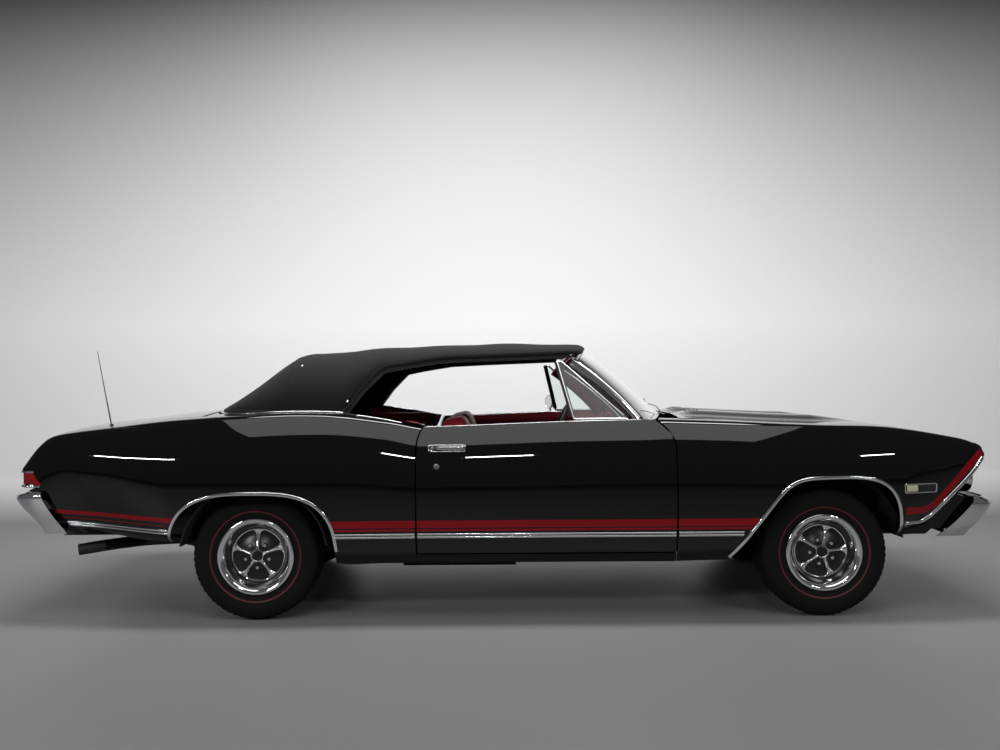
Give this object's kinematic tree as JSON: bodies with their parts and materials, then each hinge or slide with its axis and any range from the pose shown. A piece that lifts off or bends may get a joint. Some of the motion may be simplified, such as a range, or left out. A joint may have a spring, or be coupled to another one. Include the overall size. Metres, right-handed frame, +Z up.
{
  "type": "muscle car convertible",
  "caption": "Full-size two-door convertible muscle car with its soft top up: opening doors, hood and trunk lid, steered front wheels and rolling wheels.",
  "frame": {"origin": "on the ground, at the middle of the car's length and width", "axes": "+X forward, +Y to the driver's side, +Z up"},
  "size_m": [5.001, 1.923, 1.402],
  "materials": {
    "black_paint": "deep gloss",
    "chassis_steel": "satin",
    "bright_metal": "polished",
    "wheel_steel": "bright spokes on a dark dish",
    "tyre": "matte with a thin red line",
    "top_cloth": "grained cloth",
    "red_vinyl": "satin",
    "dark_plastic": "satin",
    "window_glass": "clear",
    "vent_glass": "clear with a bright edge",
    "lamp_glass": "fluted",
    "lamp_red": "clear red",
    "engine_iron": "matte",
    "radiator_metal": "matte"
  },
  "bodies": {
    "body": {"frame": "chassis_steel", "floor_pan": "chassis_steel", "cowl": "chassis_steel", "rockers": "black_paint", "front_wheelhouses": "chassis_steel", "rear_wheelhouses": "chassis_steel", "fender_left": "black_paint", "fender_right": "black_paint", "quarter_left": "black_paint", "quarter_right": "black_paint", "deck_panel": "black_paint", "tail_panel": "black_paint", "nose_panel": "black_paint", "grille": "dark_plastic", "headlamps": "lamp_glass", "front_bumper": "bright_metal", "front_valance": "black_paint", "rear_bumper": "bright_metal", "tail_lamps": "lamp_red", "windshield_frame": "bright_metal", "windshield_glass": "window_glass", "soft_top": "top_cloth", "top_rails": "chassis_steel", "rear_window": "window_glass", "dashboard": "dark_plastic", "steering_column": "dark_plastic", "seat_left": "red_vinyl", "seat_right": "red_vinyl", "rear_seat": "red_vinyl", "side_trims": "red_vinyl", "engine": "engine_iron", "radiator": "radiator_metal", "rear_axle": "chassis_steel", "exhaust": "chassis_steel", "fuel_tank": "chassis_steel", "front_suspension": "chassis_steel", "antenna": "bright_metal", "door_hinges": "chassis_steel", "hood_hinges": "chassis_steel", "lid_hinges": "chassis_steel"},
    "door_left": {"door_left": "black_paint", "vent_window_left": "vent_glass", "mirror": "bright_metal"},
    "door_right": {"door_right": "black_paint", "vent_window_right": "vent_glass"},
    "hood": {"hood": "black_paint"},
    "trunk_lid": {"trunk_lid": "black_paint"},
    "steering_wheel": {"steering_wheel": "dark_plastic"},
    "steering_linkage": {"steering_linkage": "chassis_steel"},
    "knuckle_left": {"knuckle_left": "chassis_steel"},
    "knuckle_right": {"knuckle_right": "chassis_steel"},
    "wheel_front_left": {"wheel_front_left": "wheel_steel", "tyre_front_left": "tyre"},
    "wheel_front_right": {"wheel_front_right": "wheel_steel", "tyre_front_right": "tyre"},
    "wheel_rear_left": {"wheel_rear_left": "wheel_steel", "tyre_rear_left": "tyre"},
    "wheel_rear_right": {"wheel_rear_right": "wheel_steel", "tyre_rear_right": "tyre"}
  },
  "joints": [
    {"name": "steer_left", "type": "hinge", "parent": "body", "child": "knuckle_left", "pos_m": [1.598, 0.6795, 0.32], "axis": [0, 0, 1], "range_deg": [-28, 28]},
    {"name": "steer_right", "type": "hinge", "parent": "body", "child": "knuckle_right", "pos_m": [1.598, -0.6795, 0.32], "axis": [0, 0, 1], "range_deg": [-28, 28]},
    {"name": "steering_turn", "type": "hinge", "parent": "body", "child": "steering_wheel", "pos_m": [0.33, 0.37, 0.865], "axis": [-0.9135, 0, 0.4067], "range_deg": [-500, 500]},
    {"name": "linkage_slide", "type": "slide", "parent": "body", "child": "steering_linkage", "axis": [0, 1, 0], "range_m": [-0.046, 0.046]},
    {"name": "wheel_front_left_spin", "type": "hinge", "parent": "knuckle_left", "child": "wheel_front_left", "pos_m": [1.598, 0.7495, 0.32], "axis": [0, 1, 0], "continuous": true},
    {"name": "wheel_front_right_spin", "type": "hinge", "parent": "knuckle_right", "child": "wheel_front_right", "pos_m": [1.598, -0.7495, 0.32], "axis": [0, 1, 0], "continuous": true},
    {"name": "wheel_rear_left_spin", "type": "hinge", "parent": "body", "child": "wheel_rear_left", "pos_m": [-1.247, 0.7495, 0.32], "axis": [0, 1, 0], "continuous": true},
    {"name": "wheel_rear_right_spin", "type": "hinge", "parent": "body", "child": "wheel_rear_right", "pos_m": [-1.247, -0.7495, 0.32], "axis": [0, 1, 0], "continuous": true},
    {"name": "door_left_swing", "type": "hinge", "parent": "body", "child": "door_left", "pos_m": [0.807, 0.92051, 0.522], "axis": [0, 0, -1], "range_deg": [0, 65]},
    {"name": "door_right_swing", "type": "hinge", "parent": "body", "child": "door_right", "pos_m": [0.807, -0.92051, 0.522], "axis": [0, 0, 1], "range_deg": [0, 65]},
    {"name": "hood_lift", "type": "hinge", "parent": "body", "child": "hood", "pos_m": [0.905, 0, 0.96488], "axis": [0, -1, 0], "range_deg": [0, 50]},
    {"name": "lid_lift", "type": "hinge", "parent": "body", "child": "trunk_lid", "pos_m": [-1.569, 0, 0.99504], "axis": [0, 1, 0], "range_deg": [0, 60]}
  ],
  "couplings": [
    {"joint": "steer_right", "follows": "steer_left", "ratio": 1},
    {"joint": "steering_turn", "follows": "steer_left", "ratio": 17.5},
    {"joint": "linkage_slide", "follows": "steer_left", "m_per_rad": -0.0925}
  ]
}
